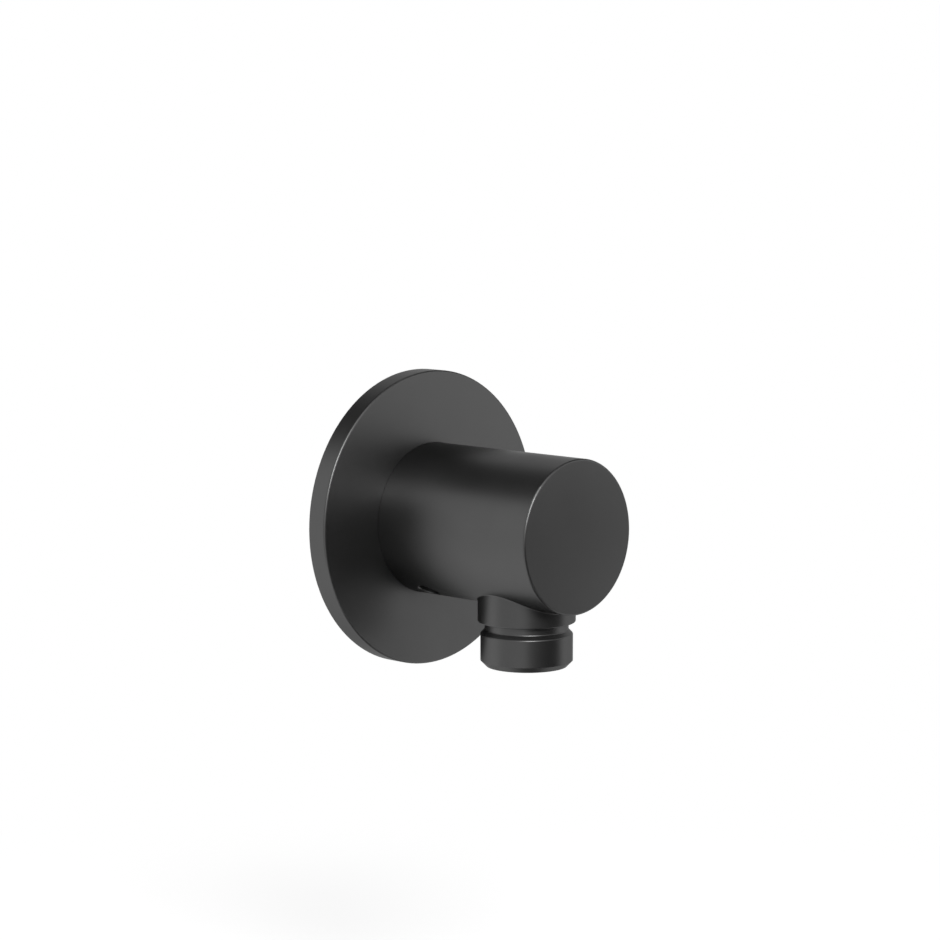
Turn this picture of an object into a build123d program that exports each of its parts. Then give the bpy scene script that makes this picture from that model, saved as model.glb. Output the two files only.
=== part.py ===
from build123d import *
import math
import os

# Shower hose wall outlet: a round elbow that slips over a nipple in the wall.
# Sizes are in millimetres. The wall is the plane Y = 0, with the origin on the elbow's axis.
# The elbow stands out from the wall along -Y, and its hose outlet points down along -Z.
# A reach is a distance out from the wall, and a negative reach lies behind it.

# Elbow barrel
BODY_DIAMETER = 35.0
BODY_PROJECTION = 50.5
BODY_WALL_GAP = 0.8
BODY_REAR_CHAMFER = 0.5
BODY_END_ROUND = 0.5

# Hose outlet: collar, relief neck and the ring at the major diameter of a G 1/2 thread
OUTLET_FROM_WALL = 35.0
COLLAR_DIAMETER = 22.2
COLLAR_REACH = 20.65
COLLAR_ROUND = 0.3
SADDLE_ROUND = 0.3
NECK_DIAMETER = 19.0
NECK_LENGTH = 1.75
HOSE_THREAD_DIAMETER = 20.955
HOSE_THREAD_LENGTH = 8.4
HOSE_LEAD_CHAMFER = 1.3
HOSE_ROUND = 0.4

# Waterway, bored from the back and met by a bore from below
WATERWAY_DIAMETER = 15.0
WATERWAY_OVERRUN = 1.0
OUTLET_BORE = 12.5
OUTLET_MOUTH_CHAMFER = 0.5
DRILL_POINT_ANGLE = 118.0

# Wall nipple: G 1/2 thread into the wall, smooth spigot into the elbow
INLET_THREAD_DIAMETER = 20.955
INLET_THREAD_LENGTH = 13.0
INLET_LEAD_CHAMFER = 1.2
SPIGOT_DIAMETER = 22.0
SPIGOT_LENGTH = 25.5
SPIGOT_CHAMFER = 0.8
SPIGOT_END_GAP = 1.0
SOCKET_CLEARANCE = 0.05
SOCKET_LEAD_IN = 1.0
NIPPLE_BORE = 11.0
KEY_ACROSS_FLATS = 12.0
KEY_DEPTH = 10.0

# Two O-rings that seal the elbow on the spigot
SPIGOT_ORING_CORD = 1.78
SPIGOT_ORING_SQUEEZE = 0.28
SPIGOT_ORING_GROOVE = 2.4
FRONT_ORING_INSET = 3.7
ORING_SPACING = 4.2

# Set screw, M5, turned from straight down towards -X
SCREW_DIAMETER = 5.0
SCREW_LENGTH = 6.0
SCREW_POINT_DIAMETER = 3.0
SCREW_TOP_CHAMFER = 0.4
SCREW_CLEARANCE = 0.05
SCREW_FROM_WALL = 12.0
SCREW_TURN = 28.0
SCREW_KEY_ACROSS_FLATS = 2.5
SCREW_KEY_DEPTH = 2.6
SCREW_MOUTH_CHAMFER = 0.3
LOCK_GROOVE_DEPTH = 1.3
LOCK_GROOVE_FLOOR = 3.4

# Wall flange: a turned cup with a hub that slides over the elbow
FLANGE_DIAMETER = 68.5
FLANGE_THICKNESS = 5.0
FLANGE_FRONT_WALL = 2.0
FLANGE_RIM_WALL = 2.2
FLANGE_EDGE_ROUND = 0.5
FLANGE_BODY_CLEARANCE = 0.05
HUB_WALL = 3.4
HUB_WALL_GAP = 0.6

# O-ring in the flange's bore that grips the elbow
FLANGE_ORING_CORD = 2.0
FLANGE_ORING_SQUEEZE = 0.3
FLANGE_ORING_GROOVE = 2.6
FLANGE_ORING_REACH = 2.6

# Rubber ring behind the flange
GASKET_WIDTH = 4.5

# How far a cutter runs past the face that it opens
CUT_PAST = 1.0

# Radii and places that follow from the sizes above
BODY_RADIUS = BODY_DIAMETER / 2
COLLAR_RADIUS = COLLAR_DIAMETER / 2
NECK_RADIUS = NECK_DIAMETER / 2
HOSE_RADIUS = HOSE_THREAD_DIAMETER / 2
OUTLET_BORE_RADIUS = OUTLET_BORE / 2
WATERWAY_RADIUS = WATERWAY_DIAMETER / 2
INLET_RADIUS = INLET_THREAD_DIAMETER / 2
SPIGOT_RADIUS = SPIGOT_DIAMETER / 2
SOCKET_RADIUS = SPIGOT_RADIUS + SOCKET_CLEARANCE
SOCKET_END = SPIGOT_LENGTH + SPIGOT_END_GAP
SPIGOT_GROOVE_RADIUS = SOCKET_RADIUS - SPIGOT_ORING_CORD + SPIGOT_ORING_SQUEEZE
FRONT_ORING_REACH = SPIGOT_LENGTH - FRONT_ORING_INSET
REAR_ORING_REACH = FRONT_ORING_REACH - ORING_SPACING
LOCK_GROOVE_RADIUS = SPIGOT_RADIUS - LOCK_GROOVE_DEPTH
SCREW_RADIUS = SCREW_DIAMETER / 2
FLANGE_RADIUS = FLANGE_DIAMETER / 2
RIM_INNER_RADIUS = FLANGE_RADIUS - FLANGE_RIM_WALL
FLANGE_BORE_RADIUS = BODY_RADIUS + FLANGE_BODY_CLEARANCE
FLANGE_GROOVE_RADIUS = BODY_RADIUS + FLANGE_ORING_CORD - FLANGE_ORING_SQUEEZE
HUB_RADIUS = FLANGE_BORE_RADIUS + HUB_WALL
CUP_DEPTH = FLANGE_THICKNESS - FLANGE_FRONT_WALL
OUTLET_END = COLLAR_REACH + NECK_LENGTH + HOSE_THREAD_LENGTH

# The set screw's own frame: its Z runs outwards from the elbow's axis
SCREW_FRAME = Plane(
    origin=(0, -SCREW_FROM_WALL, 0),
    x_dir=(0, 1, 0),
    z_dir=(-math.sin(math.radians(SCREW_TURN)), 0, -math.cos(math.radians(SCREW_TURN))),
)


def outline(points, rounds=None):
    """A closed flat outline, with the corners named in rounds eased to the radius given there."""
    face = make_face(Polyline(*points, close=True))
    for point, radius in (rounds or {}).items():
        corner = face.vertices().sort_by_distance((*point, 0))[0]
        face = fillet(corner, radius)
    return face


def turned(points, rounds=None):
    """A solid turned about the elbow's axis, from points given as (radius, reach)."""
    flipped = {(radius, -reach): size for (radius, reach), size in (rounds or {}).items()}
    face = outline([(radius, -reach) for radius, reach in points], flipped)
    return revolve(face, Axis.Y)


def turned_upright(points, rounds=None):
    """A solid turned about the Z axis, from points given as (radius, height)."""
    return revolve(Plane.XZ * outline(points, rounds), Axis.Z)


def squeezed_oring(inner_radius, outer_radius, cord, reach):
    """An O-ring flattened between the two round walls that it seals."""
    section = Circle(cord / 2) & Rectangle(outer_radius - inner_radius, cord)
    return revolve(Pos((inner_radius + outer_radius) / 2, -reach) * section, Axis.Y)


def groove(wall_radius, floor_radius, reach, width):
    """The four outline points of a square groove, from the wall outwards."""
    rear = reach - width / 2
    front = reach + width / 2
    return [(wall_radius, rear), (floor_radius, rear), (floor_radius, front), (wall_radius, front)]


def waterway():
    """The nipple's socket and the bore beyond it, ending in the drill's point."""
    bore_end = OUTLET_FROM_WALL + OUTLET_BORE_RADIUS + WATERWAY_OVERRUN
    point_end = bore_end + WATERWAY_RADIUS / math.tan(math.radians(DRILL_POINT_ANGLE / 2))
    socket = turned(
        [
            (0, BODY_WALL_GAP - CUT_PAST),
            (SOCKET_RADIUS + SOCKET_LEAD_IN + CUT_PAST, BODY_WALL_GAP - CUT_PAST),
            (SOCKET_RADIUS, BODY_WALL_GAP + SOCKET_LEAD_IN),
            (SOCKET_RADIUS, SOCKET_END),
            (WATERWAY_RADIUS, SOCKET_END),
            (WATERWAY_RADIUS, bore_end),
            (0, point_end),
        ]
    )
    mouth = OUTLET_BORE_RADIUS + OUTLET_MOUTH_CHAMFER + CUT_PAST
    outlet = turned_upright(
        [
            (0, 0),
            (OUTLET_BORE_RADIUS, 0),
            (OUTLET_BORE_RADIUS, -OUTLET_END + OUTLET_MOUTH_CHAMFER),
            (mouth, -OUTLET_END - CUT_PAST),
            (0, -OUTLET_END - CUT_PAST),
        ]
    )
    return socket + Pos(0, -OUTLET_FROM_WALL, 0) * outlet


def screw_hole():
    """The tapped hole for the set screw, with its countersunk mouth."""
    hole_radius = SCREW_RADIUS + SCREW_CLEARANCE
    mouth = hole_radius + SCREW_MOUTH_CHAMFER + CUT_PAST
    cutter = turned_upright(
        [
            (0, 0),
            (hole_radius, 0),
            (hole_radius, BODY_RADIUS - SCREW_MOUTH_CHAMFER),
            (mouth, BODY_RADIUS + CUT_PAST),
            (0, BODY_RADIUS + CUT_PAST),
        ]
    )
    return SCREW_FRAME * cutter


def hose_outlet():
    """The collar, its relief neck and the bevelled ring for the hose nut, on the outlet's own axis."""
    neck_end = -COLLAR_REACH - NECK_LENGTH
    collar_foot = (COLLAR_RADIUS, -COLLAR_REACH)
    neck_foot = (NECK_RADIUS, neck_end)
    ring_shoulder = (HOSE_RADIUS, neck_end - HOSE_RADIUS + NECK_RADIUS)
    return turned_upright(
        [
            (0, 0),
            (COLLAR_RADIUS, 0),
            collar_foot,
            (NECK_RADIUS, -COLLAR_REACH),
            neck_foot,
            ring_shoulder,
            (HOSE_RADIUS, -OUTLET_END + HOSE_LEAD_CHAMFER),
            (HOSE_RADIUS - HOSE_LEAD_CHAMFER, -OUTLET_END),
            (0, -OUTLET_END),
        ],
        {collar_foot: COLLAR_ROUND, neck_foot: HOSE_ROUND, ring_shoulder: HOSE_ROUND},
    )


def elbow_body():
    """The elbow, one forged and machined piece."""
    end_corner = (BODY_RADIUS, BODY_PROJECTION)
    barrel = turned(
        [
            (0, BODY_WALL_GAP),
            (BODY_RADIUS - BODY_REAR_CHAMFER, BODY_WALL_GAP),
            (BODY_RADIUS, BODY_WALL_GAP + BODY_REAR_CHAMFER),
            end_corner,
            (0, BODY_PROJECTION),
        ],
        {end_corner: BODY_END_ROUND},
    )
    elbow = barrel + Pos(0, -OUTLET_FROM_WALL, 0) * hose_outlet()
    saddle = elbow.edges().filter_by(GeomType.BSPLINE)
    elbow = fillet(saddle, SADDLE_ROUND)
    return elbow - waterway() - screw_hole()


def wall_nipple():
    """The nipple that screws into the wall and carries the elbow."""
    floor = LOCK_GROOVE_FLOOR / 2
    flank = floor + LOCK_GROOVE_DEPTH
    rear_groove = groove(SPIGOT_RADIUS, SPIGOT_GROOVE_RADIUS, REAR_ORING_REACH, SPIGOT_ORING_GROOVE)
    front_groove = groove(SPIGOT_RADIUS, SPIGOT_GROOVE_RADIUS, FRONT_ORING_REACH, SPIGOT_ORING_GROOVE)
    shell = turned(
        [
            (NIPPLE_BORE / 2, -INLET_THREAD_LENGTH),
            (INLET_RADIUS - INLET_LEAD_CHAMFER, -INLET_THREAD_LENGTH),
            (INLET_RADIUS, -INLET_THREAD_LENGTH + INLET_LEAD_CHAMFER),
            (INLET_RADIUS, 0),
            (SPIGOT_RADIUS, 0),
            (SPIGOT_RADIUS, SCREW_FROM_WALL - flank),
            (LOCK_GROOVE_RADIUS, SCREW_FROM_WALL - floor),
            (LOCK_GROOVE_RADIUS, SCREW_FROM_WALL + floor),
            (SPIGOT_RADIUS, SCREW_FROM_WALL + flank),
            *rear_groove,
            *front_groove,
            (SPIGOT_RADIUS, SPIGOT_LENGTH - SPIGOT_CHAMFER),
            (SPIGOT_RADIUS - SPIGOT_CHAMFER, SPIGOT_LENGTH),
            (NIPPLE_BORE / 2, SPIGOT_LENGTH),
        ]
    )
    key_face = Plane(origin=(0, -SPIGOT_LENGTH, 0), x_dir=(1, 0, 0), z_dir=(0, 1, 0))
    key = key_face * RegularPolygon(KEY_ACROSS_FLATS / 2, 6, major_radius=False)
    return shell - extrude(key, KEY_DEPTH)


def spigot_oring(reach):
    """An O-ring in one of the spigot's grooves, squeezed by the elbow's socket."""
    return squeezed_oring(SPIGOT_GROOVE_RADIUS, SOCKET_RADIUS, SPIGOT_ORING_CORD, reach)


def set_screw():
    """The grub screw, standing on the floor of the nipple's locking groove."""
    point_radius = SCREW_POINT_DIAMETER / 2
    top = LOCK_GROOVE_RADIUS + SCREW_LENGTH
    shank = turned_upright(
        [
            (0, LOCK_GROOVE_RADIUS),
            (point_radius, LOCK_GROOVE_RADIUS),
            (SCREW_RADIUS, LOCK_GROOVE_RADIUS + SCREW_RADIUS - point_radius),
            (SCREW_RADIUS, top - SCREW_TOP_CHAMFER),
            (SCREW_RADIUS - SCREW_TOP_CHAMFER, top),
            (0, top),
        ]
    )
    key = RegularPolygon(SCREW_KEY_ACROSS_FLATS / 2, 6, major_radius=False)
    return SCREW_FRAME * (shank - extrude(Pos(0, 0, top) * key, -SCREW_KEY_DEPTH))


def wall_flange():
    """The cover flange: front plate, rim and the hub that holds its O-ring."""
    front_edge = (FLANGE_RADIUS, FLANGE_THICKNESS)
    bore_groove = groove(FLANGE_BORE_RADIUS, FLANGE_GROOVE_RADIUS, FLANGE_ORING_REACH, FLANGE_ORING_GROOVE)
    return turned(
        [
            (RIM_INNER_RADIUS, 0),
            (FLANGE_RADIUS, 0),
            front_edge,
            (FLANGE_BORE_RADIUS, FLANGE_THICKNESS),
            *reversed(bore_groove),
            (FLANGE_BORE_RADIUS, HUB_WALL_GAP),
            (HUB_RADIUS, HUB_WALL_GAP),
            (HUB_RADIUS, CUP_DEPTH),
            (RIM_INNER_RADIUS, CUP_DEPTH),
        ],
        {front_edge: FLANGE_EDGE_ROUND},
    )


def flange_oring():
    """The O-ring in the flange's hub that grips the elbow."""
    return squeezed_oring(BODY_RADIUS, FLANGE_GROOVE_RADIUS, FLANGE_ORING_CORD, FLANGE_ORING_REACH)


def flange_gasket():
    """The flat ring inside the rim that seals the flange on the wall."""
    inner_radius = RIM_INNER_RADIUS - GASKET_WIDTH
    return turned(
        [
            (inner_radius, 0),
            (RIM_INNER_RADIUS, 0),
            (RIM_INNER_RADIUS, CUP_DEPTH),
            (inner_radius, CUP_DEPTH),
        ]
    )


pieces = {
    "elbow_body": elbow_body(),
    "wall_nipple": wall_nipple(),
    "rear_oring": spigot_oring(REAR_ORING_REACH),
    "front_oring": spigot_oring(FRONT_ORING_REACH),
    "set_screw": set_screw(),
    "wall_flange": wall_flange(),
    "flange_oring": flange_oring(),
    "flange_gasket": flange_gasket(),
}

os.makedirs("parts", exist_ok=True)
for name, piece in pieces.items():
    export_step(piece, os.path.join("parts", name + ".step"))
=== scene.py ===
import math

import bmesh
import bpy
from mathutils import Matrix, Vector


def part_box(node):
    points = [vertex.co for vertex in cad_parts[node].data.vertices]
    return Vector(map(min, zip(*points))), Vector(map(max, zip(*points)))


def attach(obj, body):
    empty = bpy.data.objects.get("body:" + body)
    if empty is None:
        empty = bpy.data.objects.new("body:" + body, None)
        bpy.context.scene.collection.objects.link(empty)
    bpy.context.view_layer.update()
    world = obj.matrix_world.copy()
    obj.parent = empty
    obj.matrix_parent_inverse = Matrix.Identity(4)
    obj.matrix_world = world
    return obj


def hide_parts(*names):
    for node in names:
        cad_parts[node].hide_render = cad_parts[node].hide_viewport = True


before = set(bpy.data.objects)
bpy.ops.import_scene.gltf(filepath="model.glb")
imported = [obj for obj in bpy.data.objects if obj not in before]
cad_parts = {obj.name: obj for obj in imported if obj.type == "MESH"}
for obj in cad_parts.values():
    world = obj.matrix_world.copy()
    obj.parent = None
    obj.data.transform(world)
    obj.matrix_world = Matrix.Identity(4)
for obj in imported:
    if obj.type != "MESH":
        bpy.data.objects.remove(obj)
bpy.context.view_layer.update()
scene = bpy.context.scene
MM = 0.001


# Node and colour helpers

def linear(hex_colour):
    """Linear RGBA of an sRGB hex colour."""
    parts = [int(hex_colour[i:i + 2], 16) / 255 for i in (1, 3, 5)]
    levels = [c / 12.92 if c <= 0.04045 else ((c + 0.055) / 1.055) ** 2.4 for c in parts]
    return (*levels, 1.0)


def add_node(tree, kind, inputs=None, **settings):
    """Adds a node with its settings; an input is a value or another node's output."""
    node = tree.nodes.new(kind)
    for name, value in settings.items():
        setattr(node, name, value)
    for name, value in (inputs or {}).items():
        if isinstance(value, bpy.types.NodeSocket):
            tree.links.new(value, node.inputs[name])
        else:
            node.inputs[name].default_value = value
    return node


def empty_material(name):
    """A material with no nodes yet, and its tree."""
    material = bpy.data.materials.new(name)
    material.use_nodes = True
    material.node_tree.nodes.clear()
    return material, material.node_tree


# Materials of the object

# A noise node's values lie mostly between these two
NOISE_LOW = 0.3
NOISE_HIGH = 0.7


def satin_black_plating():
    """Forged brass, blasted fine and plated black: an even, soft metal sheen."""
    material, tree = empty_material("satin_black_plating")
    place = add_node(tree, "ShaderNodeTexCoord").outputs["Object"]
    # Faint clouds in the plating, about 9 mm across
    cloud = add_node(
        tree,
        "ShaderNodeTexNoise",
        {"Vector": place, "Scale": 1 / (9 * MM), "Detail": 3.0},
    )
    roughness = add_node(
        tree,
        "ShaderNodeMapRange",
        {
            "Value": cloud.outputs["Fac"],
            "From Min": NOISE_LOW,
            "From Max": NOISE_HIGH,
            "To Min": 0.36,
            "To Max": 0.4,
        },
    )
    shader = add_node(
        tree,
        "ShaderNodeBsdfPrincipled",
        {
            "Base Color": linear("#5d5d5d"),
            "Metallic": 1.0,
            "Roughness": roughness.outputs["Result"],
            "Specular Tint": (0.5, 0.5, 0.5, 1.0),
        },
    )
    add_node(tree, "ShaderNodeOutputMaterial", {"Surface": shader.outputs["BSDF"]})
    return material


def blackened_steel():
    """Hardened steel with a black oxide: dark, dull metal with a fine mottle."""
    material, tree = empty_material("blackened_steel")
    place = add_node(tree, "ShaderNodeTexCoord").outputs["Object"]
    mottle = add_node(
        tree,
        "ShaderNodeTexNoise",
        {"Vector": place, "Scale": 1 / (0.4 * MM), "Detail": 3.0},
    )
    roughness = add_node(
        tree,
        "ShaderNodeMapRange",
        {
            "Value": mottle.outputs["Fac"],
            "From Min": NOISE_LOW,
            "From Max": NOISE_HIGH,
            "To Min": 0.32,
            "To Max": 0.46,
        },
    )
    shader = add_node(
        tree,
        "ShaderNodeBsdfPrincipled",
        {
            "Base Color": linear("#4a4a4c"),
            "Metallic": 1.0,
            "Roughness": roughness.outputs["Result"],
        },
    )
    add_node(tree, "ShaderNodeOutputMaterial", {"Surface": shader.outputs["BSDF"]})
    return material


def turned_brass():
    """Free-cutting brass bare from the lathe: yellow metal with fine rings of tool marks."""
    material, tree = empty_material("turned_brass")
    place = add_node(tree, "ShaderNodeTexCoord").outputs["Object"]
    # Tool marks ring the Y axis, drawn 0.25 mm apart so that they show
    along = add_node(
        tree,
        "ShaderNodeMapping",
        {"Vector": place, "Scale": (20, 1 / (0.25 * MM), 20)},
    )
    marks = add_node(
        tree,
        "ShaderNodeTexNoise",
        {"Vector": along.outputs["Vector"], "Scale": 1.0, "Detail": 2.0},
    )
    stain = add_node(
        tree,
        "ShaderNodeTexNoise",
        {"Vector": place, "Scale": 1 / (6 * MM), "Detail": 3.0},
    )
    colour = add_node(
        tree,
        "ShaderNodeMix",
        {"Factor": stain.outputs["Fac"], "A": linear("#b8924c"), "B": linear("#d2ab66")},
        data_type="RGBA",
    )
    roughness = add_node(
        tree,
        "ShaderNodeMapRange",
        {
            "Value": marks.outputs["Fac"],
            "From Min": NOISE_LOW,
            "From Max": NOISE_HIGH,
            "To Min": 0.2,
            "To Max": 0.34,
        },
    )
    bump = add_node(
        tree,
        "ShaderNodeBump",
        {"Height": marks.outputs["Fac"], "Strength": 0.25, "Distance": 0.02 * MM},
    )
    shader = add_node(
        tree,
        "ShaderNodeBsdfPrincipled",
        {
            "Base Color": colour.outputs["Result"],
            "Metallic": 1.0,
            "Roughness": roughness.outputs["Result"],
            "Normal": bump.outputs["Normal"],
        },
    )
    add_node(tree, "ShaderNodeOutputMaterial", {"Surface": shader.outputs["BSDF"]})
    return material


def nitrile_rubber():
    """Moulded nitrile rubber: smooth near-black with a soft, uneven gloss."""
    material, tree = empty_material("nitrile_rubber")
    place = add_node(tree, "ShaderNodeTexCoord").outputs["Object"]
    bloom = add_node(
        tree,
        "ShaderNodeTexNoise",
        {"Vector": place, "Scale": 1 / (1.5 * MM), "Detail": 4.0},
    )
    roughness = add_node(
        tree,
        "ShaderNodeMapRange",
        {
            "Value": bloom.outputs["Fac"],
            "From Min": NOISE_LOW,
            "From Max": NOISE_HIGH,
            "To Min": 0.42,
            "To Max": 0.6,
        },
    )
    shader = add_node(
        tree,
        "ShaderNodeBsdfPrincipled",
        {"Base Color": linear("#1e1e1e"), "Roughness": roughness.outputs["Result"]},
    )
    add_node(tree, "ShaderNodeOutputMaterial", {"Surface": shader.outputs["BSDF"]})
    return material


def gasket_rubber():
    """Punched sheet rubber: matt dark grey with a fine pebbled face."""
    material, tree = empty_material("gasket_sheet_rubber")
    place = add_node(tree, "ShaderNodeTexCoord").outputs["Object"]
    pebble = add_node(
        tree,
        "ShaderNodeTexNoise",
        {"Vector": place, "Scale": 1 / (0.5 * MM), "Detail": 2.0},
    )
    dust = add_node(
        tree,
        "ShaderNodeTexNoise",
        {"Vector": place, "Scale": 1 / (5 * MM), "Detail": 4.0},
    )
    colour = add_node(
        tree,
        "ShaderNodeMix",
        {"Factor": dust.outputs["Fac"], "A": linear("#262626"), "B": linear("#3c3c3b")},
        data_type="RGBA",
    )
    bump = add_node(
        tree,
        "ShaderNodeBump",
        {"Height": pebble.outputs["Fac"], "Strength": 0.4, "Distance": 0.05 * MM},
    )
    shader = add_node(
        tree,
        "ShaderNodeBsdfPrincipled",
        {
            "Base Color": colour.outputs["Result"],
            "Roughness": 0.72,
            "Normal": bump.outputs["Normal"],
        },
    )
    add_node(tree, "ShaderNodeOutputMaterial", {"Surface": shader.outputs["BSDF"]})
    return material


plating = satin_black_plating()
brass = turned_brass()
nitrile = nitrile_rubber()
finishes = {
    "elbow_body": plating,
    "wall_flange": plating,
    "set_screw": blackened_steel(),
    "rear_oring": nitrile,
    "front_oring": nitrile,
    "flange_oring": nitrile,
    "flange_gasket": gasket_rubber(),
}
for name, material in finishes.items():
    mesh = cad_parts[name].data
    mesh.materials.clear()
    mesh.materials.append(material)


# Wall nipple with its real thread, cut into a copy of the plain solid

# G 1/2: a rounded 55 degree profile, wound in straight steps
THREAD_PITCH = 1.814 * MM
THREAD_CREST = 10.4775 * MM
THREAD_DEPTH = 1.162 * MM
THREAD_ROUND_WIDTH = 0.221 * MM
THREAD_ROUND_DROP = 0.134 * MM
THREAD_STEPS = 96
# Where the point between a crest or root and its flank lies, as shares of the rounding
ROUND_DROP_SHARE = 0.28
ROUND_WIDTH_SHARE = 0.59
# Chamfer at the thread's end, and the relief at the wall plane
THREAD_LEAD = 1.2 * MM
RELIEF_WIDTH = 1.5 * MM
RELIEF_RADIUS = 9.2 * MM
# Limits within which points merge, a cut takes them and an edge lies on a plane
MERGE = 0.0005 * MM
CUT = 0.0001 * MM
TOUCH = 0.001 * MM
# Edges bent by more than these degrees are sharp
SHARP = 35


def thread_profile():
    """One pitch of the thread from root to root, as (radius, place along the axis)."""
    root = THREAD_CREST - THREAD_DEPTH
    half = THREAD_PITCH / 2
    drop = ROUND_DROP_SHARE * THREAD_ROUND_DROP
    width = ROUND_WIDTH_SHARE * THREAD_ROUND_WIDTH
    rise = [
        (root, -half),
        (root + drop, -half + width),
        (root + THREAD_ROUND_DROP, -half + THREAD_ROUND_WIDTH),
        (THREAD_CREST - THREAD_ROUND_DROP, -THREAD_ROUND_WIDTH),
        (THREAD_CREST - drop, -width),
    ]
    fall = [(radius, -place) for radius, place in reversed(rise)]
    return rise + [(THREAD_CREST, 0.0)] + fall


def cut_thread(bm, length):
    """Winds the thread round the Y axis, from the wall plane to length, with both ends eased."""
    turns = math.ceil(length / THREAD_PITCH) + 2
    profile = thread_profile()
    verts = [bm.verts.new((radius, place - THREAD_PITCH, 0)) for radius, place in profile]
    edges = [bm.edges.new(pair) for pair in zip(verts, verts[1:])]
    bmesh.ops.spin(
        bm,
        geom=verts + edges,
        cent=(0, 0, 0),
        axis=(0, 1, 0),
        dvec=(0, THREAD_PITCH / THREAD_STEPS, 0),
        angle=math.tau * turns,
        steps=THREAD_STEPS * turns,
    )
    bmesh.ops.remove_doubles(bm, verts=bm.verts, dist=MERGE)
    for vert in bm.verts:
        radius = math.hypot(vert.co.x, vert.co.z)
        relief = RELIEF_RADIUS + max(0.0, vert.co.y - RELIEF_WIDTH)
        lead = THREAD_CREST - max(0.0, vert.co.y - length + THREAD_LEAD)
        limit = min(radius, relief, lead)
        vert.co.x *= limit / radius
        vert.co.z *= limit / radius
    for height, side in ((0.0, -1), (length, 1)):
        bmesh.ops.bisect_plane(
            bm,
            geom=bm.verts[:] + bm.edges[:] + bm.faces[:],
            dist=CUT,
            plane_co=(0, height, 0),
            plane_no=(0, side, 0),
            clear_outer=True,
        )


def threaded_nipple():
    """The nipple's solid with a wound thread in place of the plain one and both ends filled."""
    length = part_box("wall_nipple")[1].y
    bm = bmesh.new()
    cut_thread(bm, length)
    wound = bpy.data.meshes.new("wound_thread")
    bm.to_mesh(wound)
    bm.clear()
    bm.from_mesh(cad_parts["wall_nipple"].data)
    bmesh.ops.remove_doubles(bm, verts=bm.verts, dist=MERGE)
    plain = []
    for face in bm.faces:
        centre = face.calc_center_median()
        outside = math.hypot(centre.x, centre.z) > THREAD_CREST - THREAD_LEAD
        if centre.y > length - TOUCH or (outside and centre.y > TOUCH):
            plain.append(face)
    bmesh.ops.delete(bm, geom=plain, context="FACES")
    bm.from_mesh(wound)
    bpy.data.meshes.remove(wound)
    for height in (0.0, length):
        rims = [
            edge
            for edge in bm.edges
            if edge.is_boundary and all(abs(vert.co.y - height) < TOUCH for vert in edge.verts)
        ]
        bmesh.ops.triangle_fill(bm, edges=rims, use_beauty=True, normal=(0, 1, 0))
    bmesh.ops.recalc_face_normals(bm, faces=bm.faces)
    for face in bm.faces:
        face.smooth = True
    mesh = bpy.data.meshes.new("threaded_nipple")
    bm.to_mesh(mesh)
    bm.free()
    # The solid's own stored normals don't fit the new faces
    if "custom_normal" in mesh.attributes:
        mesh.attributes.remove(mesh.attributes["custom_normal"])
    mesh.set_sharp_from_angle(angle=math.radians(SHARP))
    mesh.materials.append(brass)
    piece = bpy.data.objects.new("threaded_nipple", mesh)
    scene.collection.objects.link(piece)
    return piece


nipple = threaded_nipple()
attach(nipple, "root")
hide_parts("wall_nipple")


# Camera at the photograph's angle, which a scratch script fitted to the part's edges there

def direction(azimuth, elevation):
    """Unit vector from the object towards an azimuth and elevation in degrees."""
    a = math.radians(azimuth)
    e = math.radians(elevation)
    return Vector((math.sin(a) * math.cos(e), -math.cos(a) * math.cos(e), math.sin(e)))


VIEW_AZIMUTH = -45.919
VIEW_ELEVATION = 7.157
VIEW_DISTANCE = 666.667 * MM
VIEW_RIGHT = 12.341 * MM
VIEW_UP = 10.557 * MM
LENS = 109.379
SENSOR = 36.0
NEAR_CLIP = 10 * MM

back = direction(VIEW_AZIMUTH, VIEW_ELEVATION)
right = direction(VIEW_AZIMUTH + 90, 0)
up = back.cross(right)

camera_data = bpy.data.cameras.new("camera")
camera_data.sensor_width = SENSOR
camera_data.lens = LENS
camera_data.clip_start = NEAR_CLIP
camera = bpy.data.objects.new("camera", camera_data)
scene.collection.objects.link(camera)
place = back * VIEW_DISTANCE + right * VIEW_RIGHT + up * VIEW_UP
turn = Matrix((right, up, back)).transposed().to_4x4()
camera.matrix_world = Matrix.Translation(place) @ turn
scene.camera = camera


# Studio: white surround and floor, one key light, six dark or grey flags that only reflections see

# The studio's sizes are in metres
FLOOR_RADIUS = 0.6
FLOOR_HEIGHT = -0.16
# Watts for each square metre of a lamp that looks white in a mirror
WHITE_LAMP = 4


def soft_box(name, azimuth, elevation, distance, width, height, radiance):
    """An area lamp that faces the object; radiance 1 looks white in a mirror."""
    data = bpy.data.lights.new(name, "AREA")
    data.shape = "RECTANGLE"
    data.size = width
    data.size_y = height
    data.energy = radiance * WHITE_LAMP * width * height
    lamp = bpy.data.objects.new(name, data)
    scene.collection.objects.link(lamp)
    towards = direction(azimuth, elevation)
    lamp.location = towards * distance
    lamp.rotation_euler = towards.to_track_quat("Z", "Y").to_euler()
    return lamp


def stage_piece(name, bm, material):
    """A piece of the studio made from a bmesh."""
    mesh = bpy.data.meshes.new(name)
    bm.to_mesh(mesh)
    bm.free()
    mesh.materials.append(material)
    piece = bpy.data.objects.new(name, mesh)
    scene.collection.objects.link(piece)
    return piece


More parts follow.
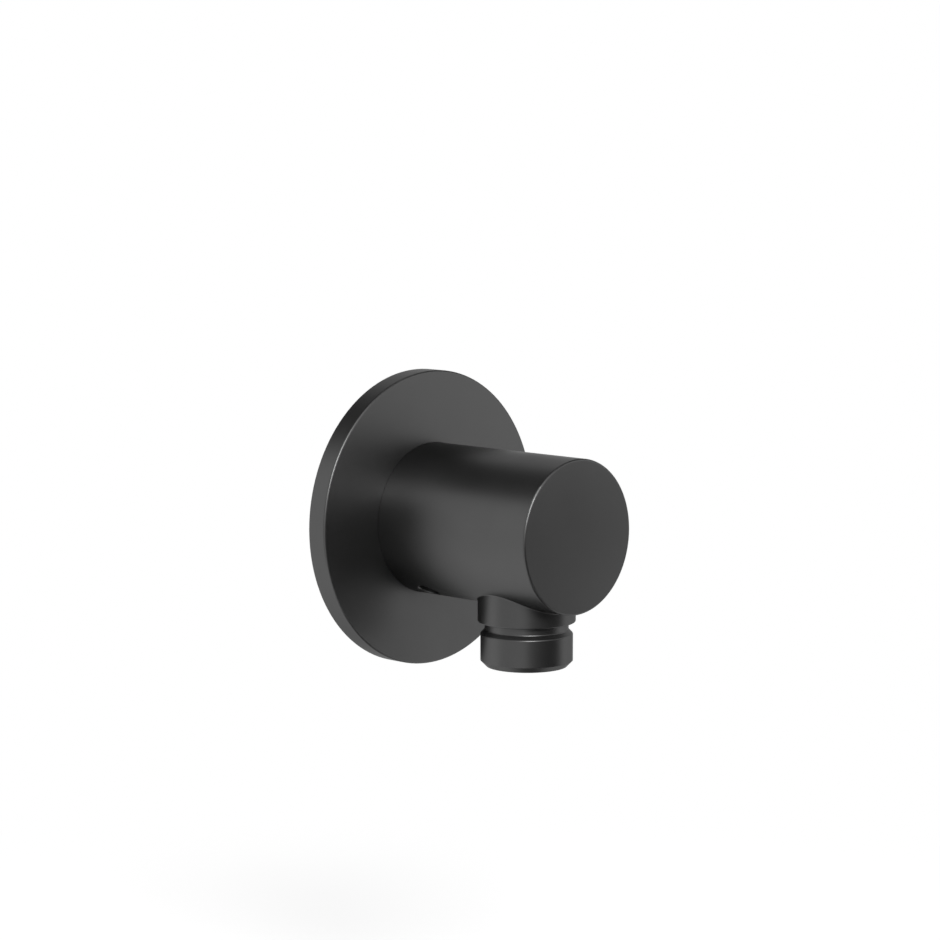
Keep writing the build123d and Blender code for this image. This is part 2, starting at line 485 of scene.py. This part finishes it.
def flag(name, centre, azimuth, elevation, half_width, half_height, soft, tone):
    """A card that only reflections see; towards its edges it fades out over the soft width."""
    material, tree = empty_material(name + "_card")
    place = add_node(tree, "ShaderNodeTexCoord").outputs["Object"]
    reach = add_node(tree, "ShaderNodeVectorMath", {0: place}, operation="ABSOLUTE")
    inside = add_node(
        tree,
        "ShaderNodeVectorMath",
        {0: (half_width, half_height, 0), 1: reach.outputs["Vector"]},
        operation="SUBTRACT",
    )
    sides = add_node(tree, "ShaderNodeSeparateXYZ", {"Vector": inside.outputs["Vector"]})
    nearest = add_node(
        tree,
        "ShaderNodeMath",
        {0: sides.outputs["X"], 1: sides.outputs["Y"]},
        operation="MINIMUM",
    )
    cover = add_node(
        tree,
        "ShaderNodeMapRange",
        {"Value": nearest.outputs["Value"], "From Max": soft},
        interpolation_type="SMOOTHSTEP",
    )
    clear = add_node(tree, "ShaderNodeBsdfTransparent")
    dark = add_node(tree, "ShaderNodeEmission", {"Color": (tone, tone, tone, 1)})
    mixed = add_node(
        tree,
        "ShaderNodeMixShader",
        {0: cover.outputs["Result"], 1: clear.outputs["BSDF"], 2: dark.outputs["Emission"]},
    )
    add_node(tree, "ShaderNodeOutputMaterial", {"Surface": mixed.outputs["Shader"]})
    bm = bmesh.new()
    bmesh.ops.create_grid(
        bm,
        x_segments=1,
        y_segments=1,
        size=1.0,
        matrix=Matrix.Diagonal((half_width, half_height, 1, 1)),
    )
    card = stage_piece(name, bm, material)
    towards = direction(azimuth, elevation)
    turn = towards.to_track_quat("Z", "Y").to_matrix().to_4x4()
    card.matrix_world = Matrix.Translation(centre) @ turn
    card.visible_camera = False
    card.visible_diffuse = False
    card.visible_shadow = False
    return card


def pale_floor():
    """A white floor that takes the part's shadow near its middle and fades into the surround."""
    material, tree = empty_material("white_floor")
    place = add_node(tree, "ShaderNodeTexCoord").outputs["Object"]
    spot = add_node(
        tree,
        "ShaderNodeMapping",
        {"Vector": place, "Scale": (1 / FLOOR_RADIUS, 1 / FLOOR_RADIUS, 0)},
    )
    fade = add_node(
        tree,
        "ShaderNodeTexGradient",
        {"Vector": spot.outputs["Vector"]},
        gradient_type="SPHERICAL",
    )
    outer = add_node(
        tree,
        "ShaderNodeMapRange",
        {
            "Value": fade.outputs["Fac"],
            "From Min": 0.4,
            "From Max": 0.75,
            "To Min": 1.0,
            "To Max": 0.0,
        },
        interpolation_type="SMOOTHSTEP",
    )
    path = add_node(tree, "ShaderNodeLightPath")
    mirrored = add_node(
        tree,
        "ShaderNodeMath",
        {0: path.outputs["Is Glossy Ray"], 1: path.outputs["Is Transmission Ray"]},
        operation="MAXIMUM",
    )
    white_share = add_node(
        tree,
        "ShaderNodeMath",
        {0: outer.outputs["Result"], 1: mirrored.outputs["Value"]},
        operation="MAXIMUM",
    )
    paint = add_node(tree, "ShaderNodeBsdfDiffuse", {"Color": linear("#f4f4f4")})
    white = add_node(tree, "ShaderNodeEmission", {"Color": (1, 1, 1, 1)})
    seen = add_node(
        tree,
        "ShaderNodeMixShader",
        {0: white_share.outputs["Value"], 1: paint.outputs["BSDF"], 2: white.outputs["Emission"]},
    )
    side = add_node(tree, "ShaderNodeNewGeometry")
    clear = add_node(tree, "ShaderNodeBsdfTransparent")
    one_sided = add_node(
        tree,
        "ShaderNodeMixShader",
        {0: side.outputs["Backfacing"], 1: seen.outputs["Shader"], 2: clear.outputs["BSDF"]},
    )
    add_node(tree, "ShaderNodeOutputMaterial", {"Surface": one_sided.outputs["Shader"]})
    bm = bmesh.new()
    bmesh.ops.create_circle(
        bm,
        cap_ends=True,
        segments=96,
        radius=FLOOR_RADIUS,
        matrix=Matrix.Translation((0, 0, FLOOR_HEIGHT)),
    )
    return stage_piece("floor", bm, material)


def white_surround():
    """White all round, for the camera, for reflections and as the main light."""
    world = bpy.data.worlds.new("studio")
    scene.world = world
    world.use_nodes = True
    world.cycles.sampling_method = "NONE"
    tree = world.node_tree
    tree.nodes.clear()
    path = add_node(tree, "ShaderNodeLightPath")
    mirrored = add_node(
        tree,
        "ShaderNodeMath",
        {0: path.outputs["Is Glossy Ray"], 1: path.outputs["Is Transmission Ray"]},
        operation="MAXIMUM",
    )
    shown = add_node(
        tree,
        "ShaderNodeMath",
        {0: path.outputs["Is Camera Ray"], 1: mirrored.outputs["Value"]},
        operation="MAXIMUM",
    )
    light = add_node(tree, "ShaderNodeBackground", {"Color": (1, 1, 1, 1), "Strength": 0.95})
    white = add_node(tree, "ShaderNodeBackground", {"Color": (1, 1, 1, 1), "Strength": 1.0})
    seen = add_node(
        tree,
        "ShaderNodeMixShader",
        {
            0: shown.outputs["Value"],
            1: light.outputs["Background"],
            2: white.outputs["Background"],
        },
    )
    add_node(tree, "ShaderNodeOutputWorld", {"Surface": seen.outputs["Shader"]})


white_surround()
pale_floor()
soft_box(
    "key_box",
    azimuth=-36,
    elevation=29,
    distance=1.4,
    width=0.4,
    height=0.3,
    radiance=26.0,
)

# A scratch script fitted the next five flags to the photograph: place, size, soft width and tone

# Dark band along the barrel's top
flag(
    "ceiling_flag",
    centre=(-0.105, 0.375, 0.587),
    azimuth=0,
    elevation=90,
    half_width=0.443,
    half_height=0.785,
    soft=0.2,
    tone=0.097,
)
# Dark core of the ring and collar
flag(
    "front_flag",
    centre=(-0.005, -0.148, -0.052),
    azimuth=0,
    elevation=0,
    half_width=0.135,
    half_height=0.086,
    soft=0.058,
    tone=0.013,
)
# Even grey of the end face
flag(
    "end_flag",
    centre=(0.043, -0.1015, -0.005),
    azimuth=0,
    elevation=0,
    half_width=0.039,
    half_height=0.0175,
    soft=0.004,
    tone=0.295,
)
# Dark line on the lower left edges
flag(
    "floor_flag",
    centre=(-0.024, -0.09, -0.156),
    azimuth=0,
    elevation=90,
    half_width=0.105,
    half_height=0.114,
    soft=0.056,
    tone=0.033,
)
# Grey on the left of the ring and collar, and in the barrel's image on the flange
flag(
    "side_flag",
    centre=(-0.276, -0.234, 0.12),
    azimuth=-80,
    elevation=0,
    half_width=0.43,
    half_height=0.363,
    soft=0.041,
    tone=0.584,
)
# Dark line on the top edges of the flange and the end face
flag(
    "right_flag",
    centre=(0.26, -0.18, 0.32),
    azimuth=55,
    elevation=45,
    half_width=0.28,
    half_height=0.14,
    soft=0.06,
    tone=0.02,
)

scene.view_settings.view_transform = "Standard"
